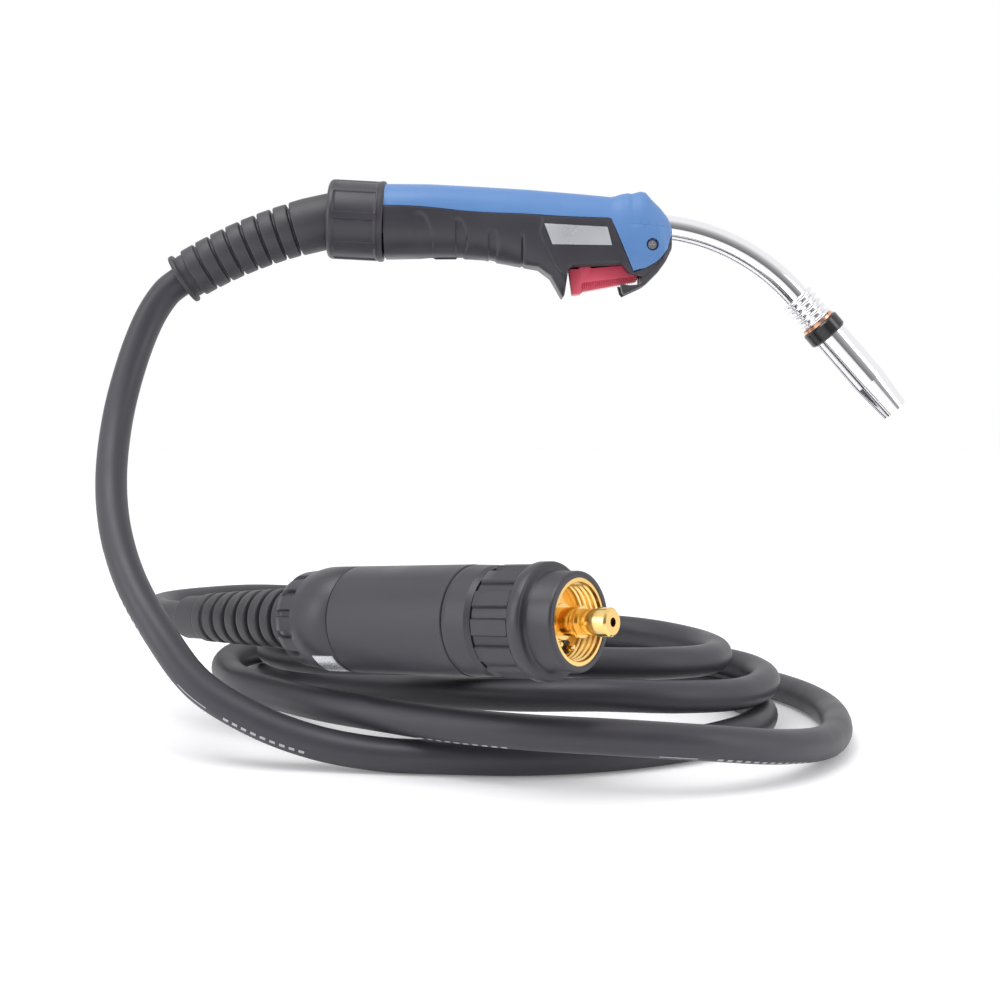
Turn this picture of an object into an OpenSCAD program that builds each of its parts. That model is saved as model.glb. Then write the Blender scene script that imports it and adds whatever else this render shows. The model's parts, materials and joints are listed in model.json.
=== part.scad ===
// MIG welding torch, gas cooled, with a free cable and a central (Euro type) connector.
// +X points forward along the handle to the nozzle, +Z is up, and the torch lies in the plane Y = 0.
// The origin is the middle of the hand grip; the cable coil lies on the plane z = floor_z.

/* [Neck and nozzle] */
// Height of the surface that the coil lies on, below the grip
floor_z = -350; // [-360:1:-345]
// Outer radius of the swan neck
neck_r = 9.25; // [8.8:0.05:9.6]
// Bending radius of the swan neck
neck_bend_r = 146; // [140:1:152]
// Downward pitch of the neck where it leaves the handle, degrees
neck_pitch = 8; // [6:0.5:10]
// Downward pitch of the nozzle, degrees
nozzle_pitch = 48.6; // [46:0.2:52]
// Outer radius of the nozzle spring
spring_r = 12.2; // [11.8:0.1:12.6]
// Outer radius of the gas nozzle
nozzle_r = 12.7; // [12.3:0.1:13]
// Outer radius of the gas nozzle's mouth
mouth_r = 10.35; // [10:0.05:10.6]
// Distance from the end of the bend to the nozzle's mouth
nozzle_end = 107; // [106:0.5:109]

/* [Handle] */
// Half width of the grip
grip_half_w = 20.5; // [19.5:0.1:22]
// Wall of the handle shells
shell_wall = 2.6; // [2.2:0.1:2.8]
// Width of the trigger
trigger_w = 18; // [16:0.5:19]
// Free travel of the trigger, degrees
trigger_travel = 4.5; // [3:0.5:4.5]
// Outer radius of the clamp nut behind the grip
clamp_nut_r = 27.7; // [27.2:0.1:28.5]
// Length of the clamp nut
clamp_nut_len = 39.4; // [38:0.2:40]
// Number of flats on the clamp nut
clamp_nut_flats = 16; // [12:2:20]
// Bending radius of the handle's kink guard
boot_bend_r = 309; // [300:1:320]
// Ribs on the handle's kink guard
boot_ribs = 8; // [6:1:10]

/* [Cable] */
// Outer diameter of the coaxial cable
cable_d = 21; // [20:0.1:21]
// Sides of the swept cable solid
cable_sides = 10; // [8:1:12]

/* [Connector] */
// Length from the nose's face to the end of the kink guard
connector_len = 328; // [324:1:332]
// Angle that the connector's front is turned towards -Y, degrees
connector_turn = 37.6; // [36:0.1:39]
// Angle that the connector's front is raised, degrees
connector_rise = 4.6; // [4:0.1:5]
// Outer radius of the lock nut's flange
flange_r = 34; // [33:0.1:34.5]
// Outer radius of the housing
housing_r = 33; // [32:0.1:33.5]
// Radius of the central pin's shaft
pin_r = 7.4; // [7.2:0.05:7.6]
// Reach of the central pin beyond the lock nut's face
pin_reach = 21.6; // [20:0.2:23]
// Radius of a control pin
control_pin_r = 1.9; // [1.8:0.05:2]

/* [Hidden] */
$fn = 64;

// Running gap of a sliding fit, the gap between parts that only pass each other, and a hairline joint
fit_gap = 0.05;
pass_gap = 0.4;
hairline = 0.01;
// Margin by which a cutting solid runs past the solid that it cuts
over = 1;

// Colours
blue = [0.16, 0.36, 0.66];
black = [0.05, 0.05, 0.06];
rubber = [0.035, 0.035, 0.04];
red = [0.75, 0.1, 0.14];
chrome = [0.78, 0.79, 0.8];
brass = [0.85, 0.62, 0.25];
copper = [0.75, 0.4, 0.25];
silver = [0.8, 0.81, 0.83];
steel = [0.6, 0.61, 0.63];
ceramic = [0.85, 0.8, 0.7];

// Side outline of the closed handle, X and Z
handle_outline = [
    [-100, 27.9], [-66, 27.9], [-35, 27.7], [0, 26], [35.5, 23.9], [71, 21], [92, 19], [95.5, 19.6], [99, 20.8],
    [104, 21.7], [106.8, 21.2], [113.1, 22.8], [116.7, 22.1], [120.9, 17.2], [127.3, 10.9], [132.3, 4.6],
    [134.6, -0.3], [135.6, -5.9], [135, -10.6], [134.1, -19], [129.9, -27.4], [124.3, -35.1], [115.9, -43.5],
    [101.1, -50.5], [98, -43], [99, -29.5], [61.3, -31], [61.3, -38.6], [57.6, -51.8], [54, -45.2],
    [49.7, -37.5], [41.2, -31.2], [27, -29], [10.1, -26.5], [3, -24.8], [-12.6, -24.4], [-33.6, -24.5],
    [-42, -24.1], [-100, -24.1]
];
// Region of the top shell in the same view
top_region = [
    [-110, 10.3], [-52.2, 10.3], [-41.1, 9.8], [-27.3, 8.7], [-13.4, 7.2], [0.4, 6.2], [28.2, 5.1], [55.9, 3.7],
    [76.7, 2.8], [89.8, 2.5], [91.7, 1.7], [107.1, -34.6], [116, -32], [122.2, -28.6], [125.7, -25.8],
    [131.2, -18.9], [132.8, -12], [150, -12], [150, 60], [-110, 60]
];
// Rounded cross-sections of the handle: X, lowest Z, highest Z, half width
handle_stations = [
    [-100, -24.9, 28.4, 26], [-60, -24.9, 28.4, 25.5], [-30, -24, 28, 23], [0, -26, 26.6, grip_half_w],
    [30, -32, 24.8, grip_half_w], [48, -45, 23.6, 20.5], [58, -56, 22.8, 20], [90, -56, 21.5, 20.5],
    [118, -54, 24, 20.5], [131, -47, 20, 18], [138, -42, 13, 14]
];
// Label plate outline, X and Z
plate_outline = [[44.5, -1], [89.2, -3.5], [92.7, -16.9], [50.4, -16.2]];
plate_y = 20.3;
plate_t = 0.5;
// Side outline of the trigger
trigger_outline = [
    [62.8, -32.2], [70, -31.8], [70.5, -26.2], [77, -26.2], [78, -31.4], [99.6, -29.6], [105, -29.8],
    [110.6, -32.4], [111.6, -38], [108, -41], [71.8, -46.7], [71.4, -49], [65.2, -49.8]
];
trigger_pivot = [107, 0, -35];
trigger_pin_r = 1.5;
trigger_slot_w = trigger_w + 2 * pass_gap;
trigger_slot = [[61.6, -60], [61.6, -24], [90, -22], [113.4, -28], [113.4, -60]];
switch_x = 74;
switch_travel = 33 * trigger_travel * PI / 180;
screw_pos = [120.4, 0, -15.8];
screw_r = 1.75;

// Neck: where it leaves the handle, and the centre and the end of its bend
neck_exit = [135, 0, -3];
bend_centre = neck_exit - neck_bend_r * [sin(neck_pitch), 0, cos(neck_pitch)];
bend_end = bend_centre + neck_bend_r * [sin(nozzle_pitch), 0, cos(nozzle_pitch)];
neck_in_handle = 62;
// Distances along the nozzle's axis from the end of the bend
spring_len = 22.7;
band_start = 25;
band_end = 36;
neck_tip = 46;
taper_start = 79;

// Clamp nut axis, 3 degrees nose down, and its centre
rear_pitch = 3;
rear_centre = [-86.6, 0, 2.9];
// The kink guard bends from 12 to 32 degrees below level, in an arc that ends at the cable's first point
boot_start_pitch = 12;
boot_end_pitch = 32;
sleeve_end_pitch = 15.5;
boot_hole_r = cable_d / 2 + 0.3;

// Cable route from the handle to the connector: round numbers, X, Y and Z
cable_route = [
    [-211, 0, -39], [-223, -1, -49], [-235, -4, -69], [-245, -13, -100], [-251, -28, -136], [-250, -52, -174],
    [-241, -80, -208], [-225, -106, -240], [-202, -129, -270], [-174, -147, -300], [-138, -157, -320],
    [-100, -163, -333], [-60, -169, -339], [-20, -175, -339.5], [32, -178, -339.5], [85, -166, -339.5],
    [137, -138, -339.5], [178, -95, -339.5], [196, -40, -339.5], [182, 20, -339.5], [130, 72, -339.5],
    [60, 104, -339.5], [-15, 120, -336], [-80, 118, -325], [-135, 92, -314], [-170, 46, -311],
    [-181, -8, -312], [-160, -68, -314], [-110, -122, -316], [-60, -160, -316.5], [-15, -190, -316.5],
    [30, -212, -316], [80, -225, -316], [130, -221, -320], [180, -193, -329], [218, -145, -337],
    [238, -85, -339.5], [242, -20, -339.5], [224, 48, -339.5], [178, 110, -339.5], [110, 160, -339.5],
    [30, 190, -339.5], [-50, 200, -339.5], [-115, 188, -339.5], [-160, 145, -339], [-174, 88, -336],
    [-154, 30, -330], [-105, -26, -323], [-45, -78, -317], [20, -117, -313], [75, -137, -309],
    [130, -128, -312], [175, -90, -317], [199, -36, -318], [190, 20, -318], [150, 64, -318],
    [90, 90, -317.5], [20, 94, -314], [-60, 81, -307], [-104, 68, -303], [-136, 36, -301], [-148, -8, -299],
    [-136, -52, -297], [-104, -84, -295], [-60, -98, -293], [-10, -106, -291], [35, -112, -291],
    [78, -114, -293], [122, -102, -295], [154, -70, -298], [166, -26, -300], [154, 18, -300],
    [122, 50, -298], [72, 70, -296], [5, 93, -291], [-60, 113, -286], [-105, 121, -284], [-147, 120, -282],
    [-183, 111, -280], [-214, 87, -279], [-233, 51, -277.5], [-235, 12, -276], [-222, -21, -274.5],
    [-200, -45, -273]
];

// Centre of the kink guard's bend
boot_centre = [
    cable_route[0][0] + boot_bend_r * sin(boot_end_pitch), 0,
    cable_route[0][2] - boot_bend_r * cos(boot_end_pitch)
];

// Connector axis, from the cable's last point forward to the nose's face
connector_dir = [
    cos(connector_rise) * cos(connector_turn),
    -cos(connector_rise) * sin(connector_turn),
    sin(connector_rise)
];
connector_front = cable_route[len(cable_route) - 1] + connector_len * connector_dir;
// Distances behind the nose's face
nose_len = 18;
flange_end = 27;
nut_end = 54;
ring_end = 74;
housing_end = 164.5;
cap_end = 216;
face_depth = 13.5;
body_r = 20.5;
// Central pin: base, and the nut that forms its tip
pin_base_r = 8;
tip_r = 8.2;
tip_start = 12.8;
// Control pins: down and across from the central pin's axis
control_pin_spots = [[11.5, -9.5], [14.5, 2]];
control_pin_out = 6;

// Places a child, built along +Z, on the straight part of the neck inside the handle
module on_neck() {
    translate(neck_exit) rotate([0, 90 + neck_pitch, 0]) children();
}

// Places a child, built along +Z, on the nozzle's axis, starting at the end of the bend
module on_nozzle() {
    translate(bend_end) rotate([0, 90 + nozzle_pitch, 0]) children();
}

// Places a child, built along +Z, on the clamp nut's axis, centred on the nut
module on_rear() {
    translate(rear_centre) rotate([0, 90 + rear_pitch, 0]) children();
}

// Places a child on the connector: +Z points to its front, z = 0 is the nose's face, and +X points down
module on_connector() {
    translate(connector_front) rotate([0, 90 - connector_rise, -connector_turn]) children();
}

// Ring between two radii, from a to b along +Z
module ring(outer, inner, a, b) {
    translate([0, 0, a]) difference() {
        cylinder(r = outer, h = b - a);
        translate([0, 0, -over]) cylinder(r = inner, h = b - a + 2 * over);
    }
}

// Bent stretch of the neck with a given section, as a 2D child centred on its axis
module neck_bend() {
    translate(bend_centre) rotate([90, 0, 0]) rotate([0, 0, 90 - nozzle_pitch])
        rotate_extrude(angle = nozzle_pitch - neck_pitch) translate([neck_bend_r, 0]) children();
}

// Tube that follows the neck: straight in the handle, the bend, then straight along the nozzle's axis.
// The three stretches are separate solids, with a hairline gap between them.
module neck_pipe(outer, inner, back, front) {
    on_neck() ring(outer, inner, -back, -hairline);
    neck_bend() difference() {
        circle(r = outer);
        circle(r = inner);
    }
    on_nozzle() ring(outer, inner, hairline, front);
}

// Stretch of the handle's kink guard between two pitches, with a 2D child as its section
module boot_arc(from_pitch, to_pitch) {
    translate(boot_centre) rotate([90, 0, 0]) rotate([0, 0, 90 + from_pitch])
        rotate_extrude(angle = to_pitch - from_pitch) translate([boot_bend_r, 0]) children();
}

module annulus(outer, inner) {
    difference() {
        circle(r = outer);
        circle(r = inner);
    }
}

// Straight start of the boot: a child built along +Z, which points back into the clamp nut
module on_boot_start() {
    translate(boot_centre) rotate([0, -boot_start_pitch, 0]) translate([0, 0, boot_bend_r])
        rotate([0, 90, 0]) children();
}

// Points of a superellipse with half width w between heights lo and hi
section_points = 36;
function section(x, lo, hi, w) = [
    for (i = [0:section_points - 1])
        let (a = 360 * i / section_points, c = cos(a), s = sin(a), power = 0.8)
            [x, w * sign(c) * pow(abs(c), power), (hi + lo) / 2 + (hi - lo) / 2 * sign(s) * pow(abs(s), power)]
];

// Solid through a list of closed rings that hold the same number of points
module skin(rings) {
    n = len(rings[0]);
    m = len(rings);
    points = [for (r = rings) for (p = r) p];
    faces = concat(
        [[for (i = [0:n - 1]) i]],
        [for (k = [0:m - 2]) for (i = [0:n - 1]) let (j = (i + 1) % n)
            [k * n + i, (k + 1) * n + i, (k + 1) * n + j, k * n + j]],
        [[for (i = [n - 1:-1:0]) (m - 1) * n + i]]
    );
    polyhedron(points, faces, convexity = 6);
}

// Handle solid, shrunk by an inset on all sides
module handle_blank(inset) {
    intersection() {
        rotate([90, 0, 0]) translate([0, 0, -40]) linear_extrude(height = 80)
            offset(delta = -inset) polygon(handle_outline);
        skin([for (s = handle_stations) section(s[0], s[1] + inset, s[2] - inset, s[3] - inset)]);
    }
}

module side_cut(outline, width) {
    rotate([90, 0, 0]) translate([0, 0, -width / 2]) linear_extrude(height = width) polygon(outline);
}

// Both handle shells as one closed hollow body, before the split
module handle_pair() {
    difference() {
        union() {
            difference() {
                handle_blank(0);
                on_rear() translate([0, 0, -60]) cylinder(r = 60, h = 60 + clamp_nut_len / 2 + pass_gap);
            }
            on_rear() ring(22, 19.7, -10, clamp_nut_len / 2 + 3);
        }
        difference() {
            handle_blank(shell_wall);
            on_rear() translate([0, 0, -60]) cylinder(r = 60, h = 60 + clamp_nut_len / 2 + 2.5);
        }
        on_rear() translate([0, 0, -40]) cylinder(r = 19.7, h = 66);
        on_neck() translate([0, 0, -40]) cylinder(r = neck_r + fit_gap, h = 60);
        side_cut(trigger_slot, trigger_slot_w);
        translate(trigger_pivot) rotate([90, 0, 0]) cylinder(r = trigger_pin_r + 0.02, h = 60, center = true);
        translate(screw_pos) rotate([90, 0, 0]) cylinder(r = screw_r + fit_gap, h = 60, center = true);
        for (side = [-1, 1]) {
            translate(screw_pos + [0, side * 21, 0]) rotate([90, 0, 0]) cylinder(r = 4.5, h = 12, center = true);
            translate([0, side * (plate_y + 10 - plate_t), 0]) side_cut(plate_outline, 20);
        }
    }
}

module handle_top_shell() {
    color(blue) intersection() {
        handle_pair();
        side_cut(top_region, 80);
    }
}

module handle_lower_shell() {
    color(black) difference() {
        handle_pair();
        side_cut(top_region, 90);
    }
}

// Plain plates, one on each side, with a small margin in their recess
module label_plates() {
    color(silver) for (side = [-1, 1])
        translate([0, side * (plate_y - plate_t / 2 + 0.05), 0]) rotate([90, 0, 0])
            translate([0, 0, -plate_t / 2]) linear_extrude(height = plate_t)
                offset(delta = -0.4) polygon(plate_outline);
}

// Pan head screw through the front of the handle
module handle_screw() {
    color(chrome) translate(screw_pos) rotate([90, 0, 0]) difference() {
        union() {
            cylinder(r = screw_r, h = 30, center = true);
            translate([0, 0, 15]) cylinder(r = 3, h = 1.8);
        }
        for (turn = [0, 90]) rotate([0, 0, turn]) translate([0, 0, 17]) cube([3.6, 0.8, 2], center = true);
    }
}

module handle_screw_nut() {
    color(steel) translate(screw_pos + [0, 13.7, 0]) rotate([90, 0, 0]) difference() {
        cylinder(r = 3.6, h = 2.4, $fn = 6, center = true);
        cylinder(r = screw_r + fit_gap, h = 5, center = true);
    }
}

module neck_tube() {
    color(chrome) neck_pipe(neck_r, 7.75, neck_in_handle, neck_tip);
}

module neck_insulation() {
    color(ceramic) neck_pipe(7.65, 6.05, neck_in_handle + 4, neck_tip - 2);
}

module neck_conductor() {
    color(copper) neck_pipe(5.95, 3.2, neck_in_handle + 14, neck_tip - 1);
}

module wire_liner() {
    color(steel) neck_pipe(2.2, 1.1, neck_in_handle + 36, neck_tip + 22);
}

// Brass block that joins the neck's conductor to the cable's nipple
module neck_socket() {
    color(brass) on_neck() difference() {
        translate([0, 0, -102]) cylinder(r = 10, h = 35);
        translate([0, 0, -neck_in_handle - 14]) cylinder(r = 6, h = 20);
        translate([0, 0, -110]) cylinder(r = 2.4, h = 50);
    }
}

nipple_start = neck_exit - 104.4 * [cos(neck_pitch), 0, -sin(neck_pitch)];
module cable_nipple() {
    color(brass) translate(nipple_start) rotate([0, -90 - 5, 0]) {
        cylinder(r = 7.5, h = 8, $fn = 6);
        cylinder(r = 6, h = 54);
        for (barb = [1:5]) translate([0, 0, 6 + barb * 8]) cylinder(r1 = 7, r2 = 6, h = 6);
    }
}

// Five closed turns, built as rings of wire that lean like the turns of a spring
module nozzle_spring() {
    turns = 5;
    wire_r = 1.45;
    color(chrome) on_nozzle() for (i = [0:turns - 1])
        translate([0, 0, wire_r + 0.3 + i * (spring_len - 2 * wire_r - 0.6) / (turns - 1)])
            rotate_extrude() translate([spring_r - wire_r, 0]) circle(r = wire_r, $fn = 24);
}

// Ring that the nozzle's band butts against, and the sleeve that carries the spring
module spring_seat() {
    color(copper) on_nozzle() ring(12.3, neck_r + fit_gap, spring_len + 0.2, 24.7);
}

module tip_holder() {
    color(brass) on_nozzle() difference() {
        union() {
            translate([0, 0, neck_tip]) cylinder(r = 7, h = 6);
            translate([0, 0, neck_tip + 6]) cylinder(r = 5.2, h = 20);
        }
        translate([0, 0, neck_tip - over]) cylinder(r = 2.4, h = 30);
        translate([0, 0, neck_tip + 18]) cylinder(r = 3.1, h = 20);
        for (turn = [0:60:300]) rotate([0, 0, turn]) translate([4, 0, neck_tip + 3])
            rotate([0, 90, 0]) cylinder(r = 0.8, h = 6, $fn = 16);
    }
}

module gas_diffuser() {
    color(ceramic) on_nozzle() difference() {
        ring(8.1, 5.3, neck_tip + 6.2, neck_tip + 19);
        for (turn = [0:45:315]) rotate([0, 0, turn]) translate([5, 0, neck_tip + 13])
            rotate([0, 90, 0]) cylinder(r = 1, h = 6, $fn = 16);
    }
}

module contact_tip() {
    color(copper) on_nozzle() difference() {
        union() {
            translate([0, 0, neck_tip + 18.4]) cylinder(r = 3, h = 8);
            translate([0, 0, neck_tip + 26.2]) cylinder(r = 4, h = 24);
            translate([0, 0, neck_tip + 50.2]) cylinder(r1 = 4, r2 = 2.6, h = 7);
        }
        translate([0, 0, neck_tip + 10]) cylinder(r = 0.6, h = 60);
        translate([0, 0, neck_tip + 10]) cylinder(r = 2.3, h = 13);
    }
}

// Insulating band at the back of the nozzle, with rounded edges
module nozzle_band() {
    color(black) on_nozzle() rotate_extrude() polygon([
        [neck_r + fit_gap, band_start], [13, band_start], [14, band_start + 1],
        [14, band_end - 1.2], [13, band_end], [neck_r + fit_gap, band_end]
    ]);
}

module gas_nozzle() {
    color(chrome) on_nozzle() rotate_extrude() polygon([
        [neck_r + fit_gap, band_end + 0.05], [nozzle_r, band_end + 0.05], [nozzle_r, taper_start],
        [mouth_r, nozzle_end - 0.6], [mouth_r - 0.6, nozzle_end], [8, nozzle_end], [8, nozzle_end - 9],
        [10.2, taper_start + 4], [10.2, neck_tip + 2], [neck_r + fit_gap, neck_tip - 2]
    ]);
}

// Trigger with a ribbed underside; it turns about the pin in the jaw
module trigger() {
    ribs = 13;
    color(red) difference() {
        side_cut(trigger_outline, trigger_w);
        translate(trigger_pivot) rotate([90, 0, 0])
            cylinder(r = trigger_pin_r + fit_gap, h = trigger_w + 2 * over, center = true);
        for (i = [0:ribs - 1]) translate([73.2 + i * 2.35, 0, -46.3 + i * 2.35 * 0.157])
            rotate([0, 9, 0]) cube([1.1, trigger_w + 2 * over, 1.6], center = true);
    }
}

module trigger_pin() {
    color(steel) translate(trigger_pivot) rotate([90, 0, 0]) cylinder(r = trigger_pin_r, h = 25, center = true);
}

module switch_body() {
    color(black) difference() {
        translate([68, -5, -21]) cube([21, 10, 12]);
        translate([switch_x, 0, -22]) cylinder(r = 1.65, h = 7);
    }
}

module switch_button() {
    color(red) translate([switch_x, 0, -25.9]) cylinder(r = 1.6, h = 7.5);
}

module switch_wires() {
    color(rubber) for (side = [-1, 1]) {
        translate([68, side * 2.5, -15]) rotate([0, -90, 0]) cylinder(r = 0.9, h = 60, $fn = 24);
    }
}

// Clamp nut with flats that alternate with grooves, and chamfered ends
module clamp_nut() {
    half = clamp_nut_len / 2;
    color(black) on_rear() difference() {
        rotate_extrude() polygon([
            [22.3, -half], [22.3, half], [clamp_nut_r - 0.8, half], [clamp_nut_r, half - 0.8],
            [clamp_nut_r, -half + 5], [clamp_nut_r - 1.5, -half + 1.5], [clamp_nut_r - 4, -half]
        ]);
        for (i = [0:clamp_nut_flats - 1]) rotate([0, 0, 360 * (i + 0.5) / clamp_nut_flats])
            translate([clamp_nut_r + 0.2, 0, -half + 18]) cube([2, 2.4, 27], center = true);
    }
}

// Smooth rubber sleeve that swivels in the clamp nut and carries the kink guard
module boot_sleeve() {
    color(rubber) {
        on_boot_start() ring(19.2, boot_hole_r, 0, 15);
        boot_arc(boot_start_pitch, sleeve_end_pitch) annulus(19.2, boot_hole_r);
    }
}

// Ribbed guard: a core with ribs that shrink towards the end flange
module handle_kink_guard() {
    first = sleeve_end_pitch;
    step = (boot_end_pitch - first) / (boot_ribs + 0.6);
    color(rubber) {
        boot_arc(first, boot_end_pitch) annulus(15.4, boot_hole_r);
        for (i = [0:boot_ribs - 1])
            boot_arc(first + step * (i + 0.28), first + step * (i + 0.86)) annulus(18.6 - 0.22 * i, 15);
        boot_arc(boot_end_pitch - 0.62, boot_end_pitch) annulus(18.3, 15);
    }
}

// Stretch of cable inside the kink guard, the boot and the back of the handle
module cable_in_handle() {
    color(rubber) {
        boot_arc(boot_start_pitch, boot_end_pitch) circle(r = cable_d / 2);
        on_boot_start() {
            cylinder(r = cable_d / 2, h = 15);
            translate([0, 0, 15]) sphere(r = cable_d / 2);
            translate([0, 0, 15]) rotate([0, 10, 0]) cylinder(r = cable_d / 2, h = 64);
        }
    }
}

function unit(v) = v / norm(v);
function tangent(i) =
    i == 0 ? [-cos(boot_end_pitch), 0, -sin(boot_end_pitch)]
    : i == len(cable_route) - 1 ? connector_dir
    : unit(cable_route[i + 1] - cable_route[i - 1]);
// Ring of points round route point i, in the plane across the route
function cable_ring(i) =
    let (t = tangent(i), side = unit(cross(t, [0, 0, 1])), up = cross(side, t), r = cable_d / 2)
        [for (k = [0:cable_sides - 1]) let (a = 360 * (k + 0.5) / cable_sides)
            cable_route[i] + r * (cos(a) * side + sin(a) * up)];

module cable() {
    color(rubber) skin([for (i = [len(cable_route) - 1:-1:0]) cable_ring(i)]);
}

module cable_in_connector() {
    color(rubber) on_connector() translate([0, 0, -connector_len]) cylinder(r = cable_d / 2, h = 150);
}

// Tapered, ribbed guard at the back of the connector
module connector_kink_guard() {
    ribs = 8;
    pitch = (connector_len - cap_end - 8) / ribs;
    color(rubber) on_connector() {
        rotate_extrude() polygon([
            [boot_hole_r, -connector_len], [14, -connector_len], [14.8, -connector_len + 2],
            [16.5, -cap_end], [16.5, -cap_end + 12], [boot_hole_r, -cap_end + 12]
        ]);
        for (i = [0:ribs - 1]) let (r = 16 + 0.5 * i)
            rotate_extrude() polygon([
                [13, -connector_len + 8 + i * pitch], [r, -connector_len + 9 + i * pitch],
                [r + 0.3, -connector_len + 3 + (i + 1) * pitch], [13, -connector_len + 4 + (i + 1) * pitch]
            ]);
    }
}

// Rear cap with notches round its back end
module rear_cap() {
    notches = 14;
    color(black) on_connector() difference() {
        rotate_extrude() polygon([
            [housing_r - 3, -housing_end - 0.2], [housing_r, -housing_end - 0.2], [housing_r, -housing_end - 20],
            [31.5, -housing_end - 30], [29, -cap_end + 8], [27, -cap_end + 1.5], [25.5, -cap_end],
            [17, -cap_end], [17, -cap_end + 4], [26, -cap_end + 8], [28, -housing_end - 28],
            [housing_r - 3, -housing_end - 18]
        ]);
        for (i = [0:notches - 1]) rotate([0, 0, 360 * i / notches])
            translate([31, 0, -cap_end + 11]) cube([5, 4.2, 25], center = true);
    }
}

// Small plain plate on the lower near side of the rear cap
module cap_label() {
    color(silver) on_connector() rotate([0, 0, -38]) intersection() {
        ring(housing_r + 0.45, housing_r + 0.05, -housing_end - 19.5, -housing_end - 2.5);
        translate([0, -9, -housing_end - 30]) cube([50, 18, 40]);
    }
}

// Half of the housing's tube; the seam runs near the top
module housing_half(turn) {
    color(black) on_connector() rotate([0, 0, turn]) intersection() {
        rotate_extrude() polygon([
            [housing_r - 3, -housing_end], [housing_r - 0.5, -housing_end], [housing_r, -housing_end + 0.5],
            [housing_r, -ring_end - 1], [housing_r - 0.5, -ring_end - 0.5], [housing_r - 3, -ring_end - 0.5]
        ]);
        translate([-50, 0.06, -housing_end - over]) cube([100, 50, housing_end]);
    }
}

module housing_near_half() {
    housing_half(165);
}

module housing_far_half() {
    housing_half(-15);
}

// Two screws that hold the housing to the front ring and the core
module housing_screws() {
    color(steel) on_connector() for (u = [100, 140]) rotate([0, 0, -100]) translate([26, 0, -u])
        rotate([0, 90, 0]) cylinder(r = 1.6, h = 3.8, $fn = 24);
}

module front_ring() {
    color(black) on_connector() rotate_extrude() polygon([
        [body_r + 0.05, -ring_end], [housing_r - 0.6, -ring_end], [housing_r - 0.2, -ring_end + 3],
        [housing_r - 0.6, -nut_end - 4], [31, -nut_end - pass_gap], [body_r + 0.05, -nut_end - pass_gap]
    ]);
}

// Brass tube that carries the current from the plug to the cable
module connector_core() {
    color(brass) on_connector() {
        ring(12, 5, -ring_end - 30, -ring_end - 1);
        ring(8.5, 5, -connector_len + 150.2, -ring_end - 29);
    }
}

// Brass plug body with its sunk face, control pin bushes and a collar that keeps the lock nut on
module plug_body() {
    color(brass) on_connector() difference() {
        union() {
            translate([0, 0, -ring_end]) cylinder(r = body_r, h = ring_end - face_depth);
            translate([0, 0, -36]) cylinder(r = 23.4, h = 3.6);
        }
        translate([0, 0, -ring_end - over]) cylinder(r = 6, h = ring_end);
        for (spot = control_pin_spots) translate([spot[0], spot[1], -40])
            cylinder(r = 4, h = 40);
    }
}

// Central pin: base, collar, slotted shaft and a wire bore
module central_pin() {
    color(brass) on_connector() difference() {
        union() {
            translate([0, 0, -face_depth - 20]) cylinder(r = 5.95, h = 20.1);
            translate([0, 0, -face_depth]) cylinder(r = 10.3, h = 2);
            translate([0, 0, -face_depth]) cylinder(r = pin_base_r, h = face_depth - 1);
            translate([0, 0, -1.2]) cylinder(r = pin_base_r + 1, h = 3);
            translate([0, 0, 1.7]) cylinder(r = pin_r, h = tip_start - 1.7);
        }
        translate([0, 0, -80]) cylinder(r = 3, h = 120);
        translate([0, 0, tip_start - 6]) cylinder(r = 4.6, h = 20);
        for (turn = [90, 270]) rotate([0, 0, turn]) translate([pin_r, 0, 7.3])
            cube([2.4, 2, 7], center = true);
    }
}

// Round nut on the end of the central pin that holds the wire liner
module liner_nut() {
    color(brass) on_connector() difference() {
        union() {
            translate([0, 0, tip_start - 5.9]) cylinder(r = 4.55, h = 6.5);
            rotate_extrude() polygon([
                [0, tip_start], [tip_r - 0.5, tip_start], [tip_r, tip_start + 0.5], [tip_r, pin_reach - 1.2],
                [tip_r - 1.2, pin_reach], [0, pin_reach]
            ]);
        }
        translate([0, 0, tip_start - 8]) cylinder(r = 2.6, h = 20);
    }
}

module pin_insulators() {
    color(black) on_connector() for (spot = control_pin_spots) translate([spot[0], spot[1], 0])
        ring(3.95, control_pin_r + fit_gap, -39.5, -face_depth + 1.5);
}

module control_pin(spot) {
    color(brass) on_connector() translate([spot[0], spot[1], 0]) {
        translate([0, 0, -face_depth - 18]) cylinder(r = control_pin_r, h = 18 + control_pin_out);
        translate([0, 0, -face_depth + control_pin_out - 0.1]) cylinder(r1 = control_pin_r, r2 = 1.2, h = 0.8);
    }
}

module control_pin_left() {
    control_pin(control_pin_spots[0]);
}

module control_pin_right() {
    control_pin(control_pin_spots[1]);
}

// Hand-tightened nut: smooth nose, flange and a ribbed grip
module lock_nut() {
    grips = 12;
    color(black) on_connector() union() {
        rotate_extrude() polygon([
            [24.6, -22], [24.6, 0], [27.6, 0], [28.5, -1], [28.5, -nose_len], [flange_r - 0.8, -nose_len],
            [flange_r, -nose_len - 0.8], [flange_r, -flange_end + 0.8], [flange_r - 0.8, -flange_end],
            [30, -flange_end], [30, -nut_end], [23.8, -nut_end], [23.8, -32], [body_r + 0.4, -32],
            [body_r + 0.4, -22]
        ]);
        for (i = [0:grips - 1]) rotate([0, 0, 360 * i / grips])
            translate([29.5, -4.6, -nut_end]) cube([3.2, 9.2, nut_end - flange_end + 0.2]);
    }
}

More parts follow.
